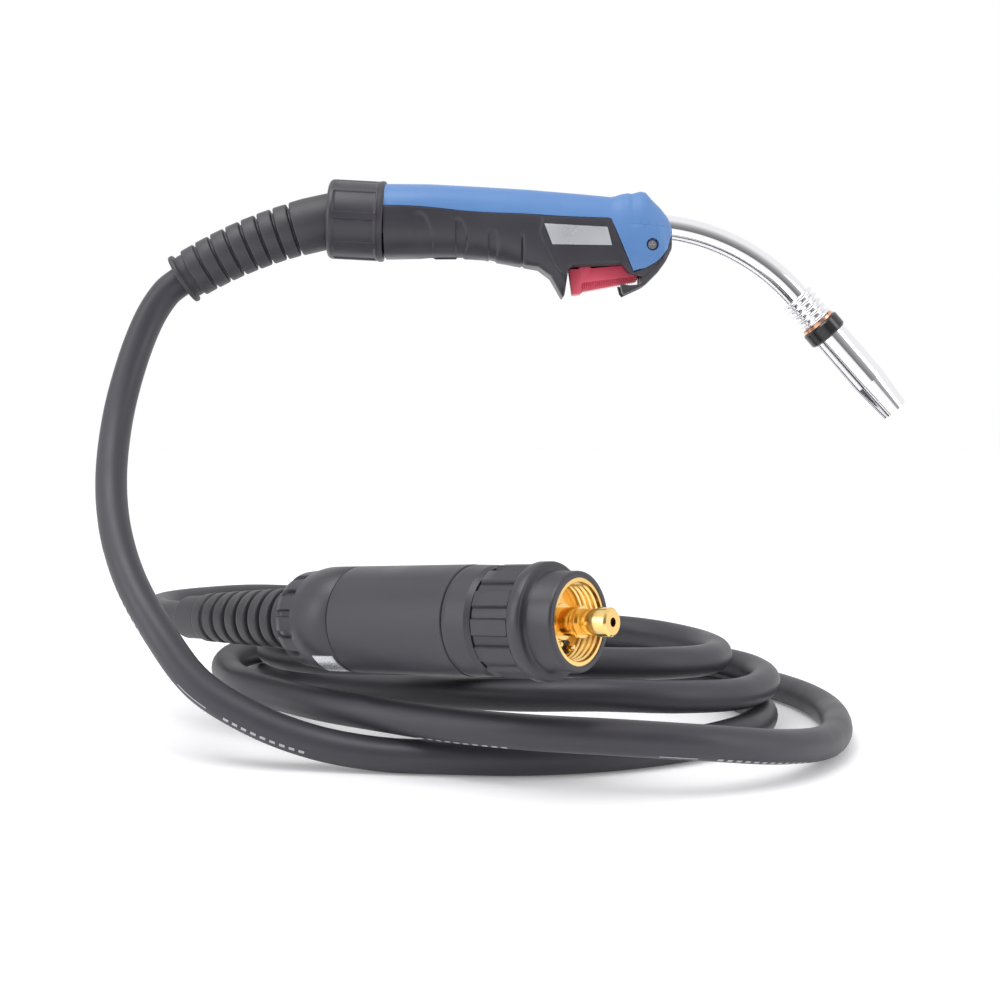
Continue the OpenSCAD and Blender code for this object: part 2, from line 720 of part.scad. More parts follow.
// Brass sleeve in the lock nut with the ridges of its internal thread
module lock_nut_insert() {
    ridges = 4;
    color(brass) on_connector() rotate_extrude() polygon(concat(
        [[24.6, -0.6], [24.6, -21.9], [22, -21.9]],
        [for (i = [0:ridges - 1]) for (p = [[22, -15.2], [21, -14.4], [21, -13.6], [22, -12.8]])
            [p[0], p[1] + i * 3.4]],
        [[22.4, -0.6]]
    ));
}

handle_top_shell();
handle_lower_shell();
label_plates();
handle_screw();
handle_screw_nut();
neck_tube();
neck_insulation();
neck_conductor();
wire_liner();
neck_socket();
cable_nipple();
nozzle_spring();
spring_seat();
tip_holder();
gas_diffuser();
contact_tip();
nozzle_band();
gas_nozzle();
trigger();
trigger_pin();
switch_body();
switch_button();
switch_wires();
clamp_nut();
boot_sleeve();
handle_kink_guard();
cable_in_handle();
cable();
cable_in_connector();
connector_kink_guard();
rear_cap();
cap_label();
housing_near_half();
housing_far_half();
housing_screws();
front_ring();
connector_core();
plug_body();
central_pin();
liner_nut();
pin_insulators();
control_pin_left();
control_pin_right();
lock_nut();
lock_nut_insert();
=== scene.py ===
"""A gas-cooled MIG welding torch: its looks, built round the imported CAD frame, in metres."""
import json
import math

import bmesh
import bpy
import numpy as np
from mathutils import Matrix, Vector


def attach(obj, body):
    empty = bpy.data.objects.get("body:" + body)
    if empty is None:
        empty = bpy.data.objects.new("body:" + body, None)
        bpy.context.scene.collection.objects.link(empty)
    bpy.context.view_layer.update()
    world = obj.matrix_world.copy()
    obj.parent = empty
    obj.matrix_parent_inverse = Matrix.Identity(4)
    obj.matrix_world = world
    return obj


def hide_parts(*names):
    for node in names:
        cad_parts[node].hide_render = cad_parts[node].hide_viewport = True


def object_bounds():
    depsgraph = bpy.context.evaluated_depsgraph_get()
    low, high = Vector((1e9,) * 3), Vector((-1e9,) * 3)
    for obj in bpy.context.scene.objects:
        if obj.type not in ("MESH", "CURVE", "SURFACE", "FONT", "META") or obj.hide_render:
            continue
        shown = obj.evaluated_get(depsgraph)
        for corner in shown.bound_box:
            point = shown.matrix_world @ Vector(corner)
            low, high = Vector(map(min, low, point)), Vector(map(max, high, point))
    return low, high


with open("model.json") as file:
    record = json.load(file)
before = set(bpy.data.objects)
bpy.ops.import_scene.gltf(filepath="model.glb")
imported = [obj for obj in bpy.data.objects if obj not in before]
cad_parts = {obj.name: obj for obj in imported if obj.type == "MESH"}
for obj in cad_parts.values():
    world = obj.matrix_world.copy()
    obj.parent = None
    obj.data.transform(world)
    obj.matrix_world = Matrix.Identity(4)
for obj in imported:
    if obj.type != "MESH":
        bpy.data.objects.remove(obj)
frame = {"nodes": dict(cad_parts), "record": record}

MM = 0.001
CAD_BOX = [list(corner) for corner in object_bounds()]
FLOOR_Z = CAD_BOX[0][2]

# ---------------------------------------------------------------- camera, floor and light

CAMERA_PLACE = (0.0143, -1.071, -0.124)
CAMERA_PITCH = math.radians(3.8)
camera_data = bpy.data.cameras.new("camera")
camera_data.lens = 54
camera_data.sensor_width = 36
camera = bpy.data.objects.new("camera", camera_data)
camera.location = CAMERA_PLACE
camera.rotation_euler = (math.pi / 2 - CAMERA_PITCH, 0, 0)
bpy.context.scene.collection.objects.link(camera)
bpy.context.scene.camera = camera


def new_material(name):
    """A material with a Principled shader, and a function that adds and links its nodes."""
    material = bpy.data.materials.new(name)
    material.use_nodes = True
    tree = material.node_tree
    shader = tree.nodes["Principled BSDF"]

    def add(kind, inputs=None, **settings):
        node = tree.nodes.new(kind)
        for key, value in settings.items():
            setattr(node, key, value)
        for key, value in (inputs or {}).items():
            if isinstance(value, bpy.types.NodeSocket):
                tree.links.new(value, node.inputs[key])
            else:
                node.inputs[key].default_value = value
        return node

    return material, shader, add, tree


def surface(name, colour, rough, metallic=0.0, specular=0.5, grain=(900, 0.15, 0.0002),
            tint=0.12, rough_spread=0.08, coat=0.0, streak=None):
    """Principled surface with fine grain in its bump, and mottled colour and roughness."""
    material, shader, add, tree = new_material(name)
    place = add("ShaderNodeTexCoord").outputs["Object"]
    broad = add("ShaderNodeTexNoise", {"Vector": place, "Scale": 28, "Detail": 4})
    fine = add("ShaderNodeTexNoise", {"Vector": place, "Scale": grain[0], "Detail": 3})
    dark = [channel * (1 - tint) for channel in colour] + [1]
    light = [min(1, channel * (1 + tint) + 0.004) for channel in colour] + [1]
    mix = add("ShaderNodeMix", {"Factor": broad.outputs["Fac"]}, data_type="RGBA")
    mix.inputs[6].default_value = dark
    mix.inputs[7].default_value = light
    tree.links.new(mix.outputs[2], shader.inputs["Base Color"])
    spread = add("ShaderNodeMapRange", {
        "Value": broad.outputs["Fac"], "From Min": 0.3, "From Max": 0.7,
        "To Min": max(0.01, rough - rough_spread), "To Max": rough + rough_spread})
    tree.links.new(spread.outputs["Result"], shader.inputs["Roughness"])
    height = fine.outputs["Fac"]
    if streak:
        stretched = add("ShaderNodeMapping", {"Vector": place, "Scale": streak})
        lines = add("ShaderNodeTexNoise", {"Vector": stretched.outputs["Vector"], "Scale": 60, "Detail": 2})
        both = add("ShaderNodeMath", {0: lines.outputs["Fac"], 1: height}, operation="ADD")
        height = both.outputs["Value"]
    bump = add("ShaderNodeBump", {"Height": height, "Strength": grain[1], "Distance": grain[2]})
    tree.links.new(bump.outputs["Normal"], shader.inputs["Normal"])
    shader.inputs["Metallic"].default_value = metallic
    shader.inputs["Specular IOR Level"].default_value = specular
    shader.inputs["Coat Weight"].default_value = coat
    return material


BLUE = surface("blue_plastic", (0.088, 0.205, 0.45), 0.42, grain=(1400, 0.25, 0.0001), tint=0.04)
BLACK = surface("black_plastic", (0.030, 0.028, 0.036), 0.42, grain=(1500, 0.3, 0.0001), tint=0.1)
GUARD = surface("guard_rubber", (0.034, 0.032, 0.039), 0.5, grain=(1100, 0.35, 0.0001), tint=0.12)
HOSE = surface("cable_rubber", (0.034, 0.032, 0.041), 0.47, grain=(700, 0.25, 0.0001), tint=0.1)
GLOSS = surface("insulating_plastic", (0.012, 0.012, 0.013), 0.12, grain=(500, 0.05, 0.0001), tint=0.1)
RED = surface("red_plastic", (0.74, 0.085, 0.14), 0.4, grain=(1500, 0.3, 0.0001), tint=0.06)
CHROME = surface("chrome", (0.86, 0.86, 0.88), 0.06, 1.0, grain=(300, 0.0, 0.0001), tint=0.01,
                 rough_spread=0.02)
BRASS = surface("brass", (0.88, 0.6, 0.22), 0.2, 1.0, grain=(900, 0.1, 0.0001), tint=0.05,
                rough_spread=0.06)
COPPER = surface("copper", (0.74, 0.4, 0.26), 0.25, 1.0, grain=(900, 0.1, 0.0001), tint=0.08)
SILVER = surface("silver_film", (0.78, 0.79, 0.83), 0.3, 0.75, grain=(900, 0.08, 0.0001), tint=0.03,
                 streak=(1, 1, 25))
STEEL = surface("steel", (0.6, 0.61, 0.63), 0.28, 1.0, grain=(900, 0.1, 0.0001))
CERAMIC = surface("ceramic", (0.82, 0.76, 0.64), 0.6)
PRINT = surface("print_ink", (0.4, 0.4, 0.42), 0.6, grain=(1500, 0.2, 0.0001), tint=0.1)
SLOT_LOOK = {
    "blue_plastic": BLUE, "black_plastic": BLACK, "insulating_plastic": GLOSS, "rubber": GUARD,
    "cable_rubber": HOSE, "silver_film": SILVER, "steel": STEEL, "chrome": CHROME, "ceramic": CERAMIC,
    "copper": COPPER, "brass": BRASS, "red_plastic": RED,
}
for part in frame["record"]["subparts"]:
    node_object = frame["nodes"][part["node"]]
    node_object.data.materials.clear()
    node_object.data.materials.append(SLOT_LOOK[part["material_slot"]])


def studio():
    """White floor, white surroundings that turn grey behind the camera, and three soft lights."""
    floor_mesh = bpy.data.meshes.new("floor")
    half = 6.0
    floor_mesh.from_pydata(
        [(-half, -half, FLOOR_Z), (half, -half, FLOOR_Z), (half, half, FLOOR_Z), (-half, half, FLOOR_Z)],
        [], [(0, 1, 2, 3)])
    floor = bpy.data.objects.new("floor", floor_mesh)
    bpy.context.scene.collection.objects.link(floor)
    material, shader, add, tree = new_material("floor")
    shader.inputs["Base Color"].default_value = (0.93, 0.93, 0.94, 1)
    shader.inputs["Emission Color"].default_value = (1, 1, 1, 1)
    shader.inputs["Emission Strength"].default_value = 0.16
    shader.inputs["Roughness"].default_value = 0.6
    floor_mesh.materials.append(material)

    world = bpy.data.worlds.new("studio")
    bpy.context.scene.world = world
    world.use_nodes = True
    nodes, links = world.node_tree.nodes, world.node_tree.links
    place = nodes.new("ShaderNodeTexCoord")
    split = nodes.new("ShaderNodeSeparateXYZ")
    links.new(place.outputs["Generated"], split.inputs["Vector"])
    ramp = nodes.new("ShaderNodeValToRGB")
    links.new(split.outputs["Y"], ramp.inputs["Fac"])
    tones = [(0.0, 0.2), (0.12, 0.45), (0.35, 1.0), (1.0, 1.0)]
    depth = nodes.new("ShaderNodeMapRange")
    depth.inputs["From Min"].default_value = -1
    links.new(split.outputs["Y"], depth.inputs["Value"])
    links.new(depth.outputs["Result"], ramp.inputs["Fac"])
    while len(ramp.color_ramp.elements) < len(tones):
        ramp.color_ramp.elements.new(0.5)
    for element, (position, tone) in zip(ramp.color_ramp.elements, tones):
        element.position = position
        element.color = (tone, tone, tone * 1.01, 1)
    background = nodes["Background"]
    links.new(ramp.outputs["Color"], background.inputs["Color"])
    background.inputs["Strength"].default_value = 1.0
    bpy.context.scene.view_settings.view_transform = "Standard"

    def area(name, place, target, size, power):
        data = bpy.data.lights.new(name, "AREA")
        data.shape = "RECTANGLE"
        data.size, data.size_y = size
        data.energy = power
        lamp = bpy.data.objects.new(name, data)
        lamp.location = place
        lamp.rotation_euler = (Vector(target) - Vector(place)).to_track_quat("-Z", "Y").to_euler()
        bpy.context.scene.collection.objects.link(lamp)

    centre = (0, 0, -0.15)
    area("key", (-0.5, -0.5, 1.3), centre, (1.2, 0.9), 14)
    area("left", (-1.6, -0.9, 0.4), centre, (0.7, 1.3), 9)
    area("right", (1.5, -0.8, 0.3), centre, (0.5, 1.3), 6)


studio()

# ---------------------------------------------------------------- mesh helpers


def face_outward(mesh):
    """Turns the faces of a closed mesh to look outward."""
    shape = bmesh.new()
    shape.from_mesh(mesh)
    bmesh.ops.recalc_face_normals(shape, faces=shape.faces)
    shape.to_mesh(mesh)
    shape.free()


def piece(name, points, faces, look, body="torch", slot=None, replaces=(), sharp=35, frame_at=None):
    """A smooth-shaded mesh piece with sharp edges kept, riding on a body."""
    mesh = bpy.data.meshes.new(name)
    mesh.from_pydata([tuple(p) for p in points], [], [tuple(int(i) for i in f) for f in faces])
    if frame_at is not None:
        mesh.transform(frame_at)
    mesh.validate()
    face_outward(mesh)
    mesh.materials.append(look)
    made = bpy.data.objects.new(name, mesh)
    bpy.context.scene.collection.objects.link(made)
    mesh.shade_smooth()
    if sharp:
        mesh.set_sharp_from_angle(angle=math.radians(sharp))
    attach(made, body)
    if replaces:
        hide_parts(*replaces)
    return made


def grid_faces(rows, columns, wrap_rows=False, wrap_columns=True):
    """Quads between rows of points that are stored one row after another."""
    faces = []
    for i in range(rows if wrap_rows else rows - 1):
        for j in range(columns if wrap_columns else columns - 1):
            a, b = i * columns + j, i * columns + (j + 1) % columns
            k = (i + 1) % rows
            faces.append((a, k * columns + j, k * columns + (j + 1) % columns, b))
    return faces


def rounded(outline, radius, steps=4, closed=True):
    """The outline with its corners turned into arcs, no larger than the sides allow."""
    result = []
    count = len(outline)
    for i, corner in enumerate(outline):
        if not closed and i in (0, count - 1):
            result.append(tuple(corner))
            continue
        here = np.array(corner, float)
        before = np.array(outline[i - 1], float) - here
        after = np.array(outline[(i + 1) % count], float) - here
        reach = min(radius, 0.45 * np.linalg.norm(before), 0.45 * np.linalg.norm(after))
        start = here + before / np.linalg.norm(before) * reach
        end = here + after / np.linalg.norm(after) * reach
        for k in range(steps + 1):
            t = k / steps
            bend = (1 - t) ** 2 * start + 2 * t * (1 - t) * here + t ** 2 * end
            result.append(tuple(float(v) for v in bend))
    return result


def lathe_mesh(profile, sides=96, shape=None, closed=True):
    """Points and faces of a turned solid: profile holds (radius, height); shape may change each radius."""
    points = []
    for r, z in profile:
        for j in range(sides):
            angle = 2 * math.pi * j / sides
            radius = shape(r, z, angle) if shape else r
            points.append((radius * math.cos(angle) * MM, radius * math.sin(angle) * MM, z * MM))
    return points, grid_faces(len(profile), sides, wrap_rows=closed)


def turned(name, profile, look, at, radius=0.4, sides=96, shape=None, **more):
    """A turned piece with rounded corners, in a local frame whose +Z is its axis; sizes in mm."""
    points, faces = lathe_mesh(rounded(profile, radius), sides, shape)
    return piece(name, points, faces, look, frame_at=at, **more)


def frame_of(origin, axis, down=None):
    """Matrix whose +Z is axis; +X is as near as possible to down."""
    z = Vector(axis).normalized()
    x = Vector(down if down is not None else (0, 0, -1))
    x = (x - x.dot(z) * z).normalized()
    y = z.cross(x)
    return Matrix.Translation(origin) @ Matrix((x, y, z)).transposed().to_4x4()


def joined(meshes):
    points, faces = [], []
    for more_points, more_faces in meshes:
        start = len(points)
        points += list(more_points)
        faces += [tuple(i + start for i in face) for face in more_faces]
    return points, faces


def side_prism(outline, y_low, y_high):
    """Prism of an X, Z outline between two Y values, in mm."""
    count = len(outline)
    points = [(x, y, z) for y in (y_low, y_high) for x, z in outline]
    faces = [tuple(range(count)), tuple(range(2 * count - 1, count - 1, -1))]
    faces += [(i, i + count, (i + 1) % count + count, (i + 1) % count) for i in range(count)]
    return points, faces


def scaled(mesh):
    points, faces = mesh
    return [(x * MM, y * MM, z * MM) for x, y, z in points], faces


def cut(target, cutter_mesh, solver="EXACT"):
    """Takes a closed mesh out of a piece for good."""
    mesh = bpy.data.meshes.new("cutter")
    mesh.from_pydata(cutter_mesh[0], [], cutter_mesh[1])
    face_outward(mesh)
    cutter = bpy.data.objects.new("cutter", mesh)
    bpy.context.scene.collection.objects.link(cutter)
    boolean = target.modifiers.new("cut", "BOOLEAN")
    boolean.operation = "DIFFERENCE"
    boolean.solver = solver
    boolean.object = cutter
    apply_modifiers(target)
    bpy.data.objects.remove(cutter)
    bpy.data.meshes.remove(mesh)


def apply_modifiers(target, sharp=35):
    graph = bpy.context.evaluated_depsgraph_get()
    graph.update()
    new = bpy.data.meshes.new_from_object(target.evaluated_get(graph))
    old = target.data
    target.modifiers.clear()
    target.data = new
    new.name = target.name
    bpy.data.meshes.remove(old)
    new.shade_smooth()
    new.set_sharp_from_angle(angle=math.radians(sharp))


def bevel(target, width, segments=2, angle=30, sharp=35):
    """Rounds the sharp edges of a piece, by a width in mm."""
    modifier = target.modifiers.new("bevel", "BEVEL")
    modifier.width = width * MM
    modifier.segments = segments
    modifier.limit_method = "ANGLE"
    modifier.angle_limit = math.radians(angle)
    modifier.harden_normals = False
    apply_modifiers(target, sharp)


def interpolate(table, x):
    return float(np.interp(x, [row[0] for row in table], [row[1] for row in table]))


def smooth_step(x):
    x = min(1.0, max(0.0, x))
    return x * x * (3 - 2 * x)


# ---------------------------------------------------------------- local frames, as in the CAD source


def level(pitch, turn=0.0):
    """Unit vector that points pitch degrees below level, turned towards -Y."""
    p, t = math.radians(pitch), math.radians(turn)
    return Vector((math.cos(p) * math.cos(t), -math.cos(p) * math.sin(t), -math.sin(p)))


CABLE_START, CABLE_END = Vector((-211, 0, -39)), Vector((-200, -45, -273))
BOOT_BEND_R = 309
BOOT_START, SLEEVE_END, BOOT_END = 12, 15.5, 32


def ahead_up(pitch):
    """Unit vector across a line that runs backwards and down, pointing up."""
    return Vector((-math.sin(math.radians(pitch)), 0, math.cos(math.radians(pitch))))


BOOT_CENTRE = CABLE_START - BOOT_BEND_R * ahead_up(BOOT_END)
CONNECTOR_DIR = level(-4.6, 37.6)
CONNECTOR_LEN = 328
REAR = frame_of(Vector((-86.6, 0, 2.9)) * MM, level(3))
FRONT = frame_of((CABLE_END + CONNECTOR_LEN * CONNECTOR_DIR) * MM, CONNECTOR_DIR)

# ---------------------------------------------------------------- the cable

CABLE_D = 0.021
CABLE_MM = [
    (-211, 0, -39), (-223, -1, -49), (-235, -4, -69), (-245, -13, -100), (-251, -28, -136), (-250, -52, -174),
    (-241, -80, -208), (-225, -106, -240), (-202, -129, -270), (-174, -147, -300), (-138, -157, -320),
    (-100, -163, -333), (-60, -169, -339), (-20, -175, -339.5), (32, -178, -339.5), (85, -166, -339.5),
    (137, -138, -339.5), (178, -95, -339.5), (196, -40, -339.5), (182, 20, -339.5), (130, 72, -339.5),
    (60, 104, -339.5), (-15, 120, -336), (-80, 118, -325), (-135, 92, -314), (-170, 46, -311),
    (-181, -8, -312), (-160, -68, -314), (-110, -122, -316), (-60, -160, -316.5), (-15, -190, -316.5),
    (30, -212, -316), (80, -225, -316), (130, -221, -320), (180, -193, -329), (218, -145, -337),
    (238, -85, -339.5), (242, -20, -339.5), (224, 48, -339.5), (178, 110, -339.5), (110, 160, -339.5),
    (30, 190, -339.5), (-50, 200, -339.5), (-115, 188, -339.5), (-160, 145, -339), (-174, 88, -336),
    (-154, 30, -330), (-105, -26, -323), (-45, -78, -317), (20, -117, -313), (75, -137, -309),
    (130, -128, -312), (175, -90, -317), (199, -36, -318), (190, 20, -318), (150, 64, -318),
    (90, 90, -317.5), (20, 94, -314), (-60, 81, -307), (-104, 68, -303), (-136, 36, -301), (-148, -8, -299),
    (-136, -52, -297), (-104, -84, -295), (-60, -98, -293), (-10, -106, -291), (35, -112, -291),
    (78, -114, -293), (122, -102, -295), (154, -70, -298), (166, -26, -300), (154, 18, -300),
    (122, 50, -298), (72, 70, -296), (5, 93, -291), (-60, 113, -286), (-105, 121, -284), (-147, 120, -282),
    (-183, 111, -280), (-214, 87, -279), (-233, 51, -277.5), (-235, 12, -276), (-222, -21, -274.5),
    (-200, -45, -273),
]


def smooth_route(points, steps):
    """Catmull-Rom curve through the points."""
    p = np.array(points, float)
    p = np.vstack([2 * p[0] - p[1], p, 2 * p[-1] - p[-2]])
    line = []
    for a, b, c, d in zip(p, p[1:], p[2:], p[3:]):
        for k in range(steps):
            t = k / steps
            line.append(0.5 * (2 * b + (c - a) * t + (2 * a - 5 * b + 4 * c - d) * t ** 2
                               + (3 * b - a - 3 * c + d) * t ** 3))
    line.append(p[-2])
    return np.array(line)


CABLE_LINE = smooth_route(CABLE_MM, 8) * MM
CABLE_STATIONS = np.concatenate([[0], np.cumsum(np.linalg.norm(np.diff(CABLE_LINE, axis=0), axis=1))])


def make_cable():
    data = bpy.data.curves.new("cable_hose", "CURVE")
    data.dimensions = "3D"
    data.bevel_depth = CABLE_D / 2
    data.bevel_resolution = 10
    data.use_fill_caps = True
    spline = data.splines.new("POLY")
    spline.points.add(len(CABLE_LINE) - 1)
    for point, place in zip(spline.points, CABLE_LINE):
        point.co = (*place, 1)
    spline.use_smooth = True
    data.materials.append(HOSE)
    hose = bpy.data.objects.new("cable_hose", data)
    bpy.context.scene.collection.objects.link(hose)
    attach(hose, "torch")
    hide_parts("cable")
    return hose


def cable_at(s):
    """Place and direction of the cable at a distance from the handle."""
    place = Vector([np.interp(s, CABLE_STATIONS, CABLE_LINE[:, k]) for k in range(3)])
    ahead = Vector([np.interp(s + 0.004, CABLE_STATIONS, CABLE_LINE[:, k]) for k in range(3)])
    behind = Vector([np.interp(s - 0.004, CABLE_STATIONS, CABLE_LINE[:, k]) for k in range(3)])
    return place, (ahead - behind).normalized()


def cable_marks():
    """Plain dashes along the cable, where a real one is printed."""
    lift = 0.00012
    meshes = []

    def strip(start, length, width, facing, shift=0.0):
        steps = max(2, int(length / 0.002))
        points = []
        for i in range(steps + 1):
            place, along = cable_at(start + length * i / steps)
            out = Vector(facing)
            out = (out - out.dot(along) * along).normalized()
            side = along.cross(out)
            for edge in (-1, 0, 1):
                angle = (edge * width / 2 + shift) / (CABLE_D / 2)
                normal = out * math.cos(angle) + side * math.sin(angle)
                points.append(tuple(place + normal * (CABLE_D / 2 + lift)))
        meshes.append((points, grid_faces(steps + 1, 3, wrap_columns=False)))

    def row(start, facing, count):
        """A long dash and a row of short ones."""
        strip(start, 0.022, 0.0009, facing)
        for i in range(count):
            strip(start + 0.034 + i * 0.0062, 0.0036, 0.0022, facing)

    for start, facing, count in MARK_ROWS:
        row(start, facing, count)
    points, faces = joined(meshes)
    return piece("cable_marks", points, faces, PRINT, slot="cable_rubber", sharp=0)


MARK_ROWS = [
    (0.200, (-0.75, -0.5, -0.3), 9),
    (0.330, (-0.5, -0.75, -0.4), 9),
    (1.520, (0.1, -0.6, -0.75), 10),
    (1.700, (0.1, -0.6, -0.75), 12),
    (3.640, (0, -0.8, 0.5), 7),
]
hose = make_cable()
marks = cable_marks()

# ---------------------------------------------------------------- handle shells

TOP_LINE = [
    (-70, 27.9), (-66, 27.9), (-35, 27.7), (0, 26), (35.5, 23.9), (71, 21), (92, 19), (95.5, 19.6), (99, 20.8),
    (104, 21.7), (106.8, 21.2), (113.1, 22.8), (116.7, 22.1), (120.9, 17.2), (127.3, 10.9), (132.3, 4.6),
    (134.6, -0.3), (135.6, -5.9)]
BOTTOM_LINE = [
    (-70, -24.1), (-42, -24.1), (-33.6, -24.5), (-12.6, -24.4), (3, -24.8), (10.1, -26.5), (27, -29),
    (41.2, -31.2), (49.7, -37.5), (54, -45.2), (57.6, -51.8), (58.6, -51.7), (59.5, -50.4), (60.4, -44),
    (61.2, -38.4), (61.7, -34.8), (62.6, -32.2), (64.5, -31), (97.6, -29.7), (98.0, -30.5), (98.3, -42.6),
    (99.6, -48.4), (101.1, -50.5), (115.9, -43.5), (124.3, -35.1), (129.9, -27.4), (134.1, -19), (135, -10.6),
    (135.6, -6.2)]
SPLIT_LINE = [
    (-70, 10.3), (-52.2, 10.3), (-41.1, 9.8), (-27.3, 8.7), (-13.4, 7.2), (0.4, 6.2), (28.2, 5.1), (55.9, 3.7),
    (76.7, 2.8), (89.8, 2.5), (91.7, 1.7), (107.1, -34.6), (116, -32), (122.2, -28.6), (125.7, -25.8),
    (131.2, -18.9), (132.8, -12), (135.6, -6.1)]
WIDTH_LINE = [
    (-70, 25.6), (-60, 25.3), (-45, 24.2), (-30, 22.8), (-15, 21.4), (0, 20.6), (48, 20.5), (58, 20.4), (90, 20.6),
    (118, 20.5), (125, 19.8), (129, 18.6), (132, 17), (134.4, 15), (135.8, 12.8), (136.4, 10.5)]
LOW_LINE = [(-70, -25), (-33, -23.6), (-19, -23.3), (1, -25.4), (20, -29.4), (30, -34), (48, -48), (58, -57),
            (90, -57), (118, -55), (131, -47), (136.4, -40)]
GRIP_EDGE = [(-60, 61.2), (-40.6, 60.2), (-30.2, 53.2), (-20.6, 48.3), (-13.7, 44.1), (-6.8, 42), (-0.7, 43.7)]
FINGER_VALLEYS = [
    # depth, soft lead-in, left edge and right edge as (z, x) tables, top of the valley
    (1.15, 9.0, [(-30, -42), (12, -50)], [(-26.2, -32.2), (-11.1, -32.5), (-1.5, -34.9), (5.8, -39)], 8.0),
    (1.45, 1.1, [(-30, -17), (12, -17)], [(-26.2, -12.1), (-16.6, -8.3), (-6.9, -9.2), (2.4, -13.4)], 4.0),
    (1.35, 1.1, [(-30, 5.7), (12, 5.7)], [(-28.2, 10.8), (-19.3, 12.9), (-12.4, 12.9), (-5.2, 10.8)], -4.8),
    (1.2, 1.0, [(-32, 28.8), (12, 28.8)], [(-30, 30.5), (-7.5, 30.5)], -7.5)]


def finger_depth(x, z):
    """How far the grip is sunk at a place on its side."""
    total = 0.0
    for depth, lead, left, right, top in FINGER_VALLEYS:
        a, b = interpolate(left, z), interpolate(right, z)
        rise = smooth_step((x - a) / lead) * (1 - smooth_step((x - b + 0.5) / 1.1))
        total += depth * rise * smooth_step((top - z) / 5.0)
    return total


def half_width(x, z):
    """Half the width of the closed handle at a place in the side view."""
    top, low = interpolate(TOP_LINE, x), interpolate(LOW_LINE, x)
    t = abs((2 * z - top - low) / (top - low))
    wide = interpolate(WIDTH_LINE, x)
    power = 2.45
    width = wide * max(0.0, 1 - min(1.0, t) ** power) ** (1 / power)
    below = z < interpolate(SPLIT_LINE, x)
    if below:
        edge = interpolate(GRIP_EDGE, z)
        bulge = smooth_step((x - 4) / 34) * (1 - smooth_step((x - edge + 0.7) / 1.5))
        width += 1.1 * bulge * smooth_step((9 - z) / 5)
        width -= finger_depth(x, z)
    return max(width, 0.0)


def corner(distance, radius):
    """How far a rounded corner draws in at a distance from the end of a wall."""
    if distance >= radius:
        return 0.0
    return radius - math.sqrt(max(0.0, radius ** 2 - (radius - distance) ** 2))


def stations_between(low, high, knots, step):
    """Values from low to high no more than a step apart, through every knot."""
    marks = sorted({low, high, *[k for k in knots if low < k < high]})
    values = []
    for a, b in zip(marks, marks[1:]):
        count = max(1, math.ceil((b - a) / step))
        values += [a + (b - a) * i / count for i in range(count)]
    return values + [high]


def shell_solid(x_low, x_high, lower_line, upper_line, lower_round, upper_round, grooves=()):
    """Closed solid between two lines of the side view, as wide as the handle, with rounded edges."""
    knots = [x for line in (TOP_LINE, BOTTOM_LINE, SPLIT_LINE) for x, z in line]
    knots += [-33, -32, -17, -15.9, -12.1, -10, -8.3, 5.7, 6.8, 10.8, 12.9, 13.9, 28.8, 29.8, 30.5, 31.5]
    xs = stations_between(x_low, x_high, knots, 1.3)
    rows = 46
    ring_count = 2 * (rows + 1)
    points = []
    for x in xs:
        low, high = lower_line(x), upper_line(x)
        span = max(high - low, 0.02)
        heights = [low + span * (0.5 - 0.5 * math.cos(math.pi * i / rows)) for i in range(rows + 1)]
        for line, depth, start in grooves:
            if x > start:
                target = line(x)
                nearest = min(range(2, rows - 1), key=lambda i: abs(heights[i] - target))
                if abs(heights[nearest] - target) < 3:
                    heights[nearest] = target
                    heights[nearest - 1] = target - 0.3
                    heights[nearest + 1] = target + 0.3
        widths = []
        for z in heights:
            width = half_width(x, z)
            width -= corner(z - low, min(lower_round, span / 2))
            width -= corner(high - z, min(upper_round, span / 2))
            for line, depth, start in grooves:
                if x > start and abs(z - line(x)) < 0.05:
                    width -= depth * smooth_step((x - start) / 3)
            widths.append(max(width, 0.3))
        for z, w in zip(heights, widths):
            points.append((x, -w, z))
        for z, w in zip(reversed(heights), reversed(widths)):
            points.append((x, w, z))
    faces = grid_faces(len(xs), ring_count)
    faces.append(tuple(range(ring_count - 1, -1, -1)))
    faces.append(tuple(range((len(xs) - 1) * ring_count, len(xs) * ring_count)))
    return scaled((points, faces))


def split_gap(x):
    """Half the seam between the shells: wider where the blue front laps the jaw."""
    return 0.14 + 0.3 * smooth_step((x - 92) / 4) * (1 - smooth_step((x - 110) / 4))


def split_height(x):
    return interpolate(SPLIT_LINE, x)


def bottom_height(x):
    lowest = interpolate(BOTTOM_LINE, x)
    return lowest + 0.9 * finger_depth(x, lowest)


# Where the shells end at the back, and at the front of the upper and the lower one
HANDLE_BACK = -66.4
TOP_FRONT = 135.55
LOWER_FRONT = 134.3
top_shell = piece(
    "top_shell", *shell_solid(
        HANDLE_BACK, TOP_FRONT, lambda x: split_height(x) + split_gap(x), lambda x: interpolate(TOP_LINE, x),
        0.5, 0.1,
        grooves=[(lambda x: -1.6 - (x - 101) * 0.045, 0.22, 99.5)]),
    BLUE, slot="blue_plastic", replaces=("handle_top_shell",), sharp=42)
lower_shell = piece(
    "lower_shell", *shell_solid(
        HANDLE_BACK, LOWER_FRONT, bottom_height, lambda x: split_height(x) - split_gap(x), 2.6, 0.5,
        grooves=[(lambda x: bottom_height(x) + 6.2, 0.35, 112)]),
    BLACK, slot="black_plastic", replaces=("handle_lower_shell",), sharp=42)

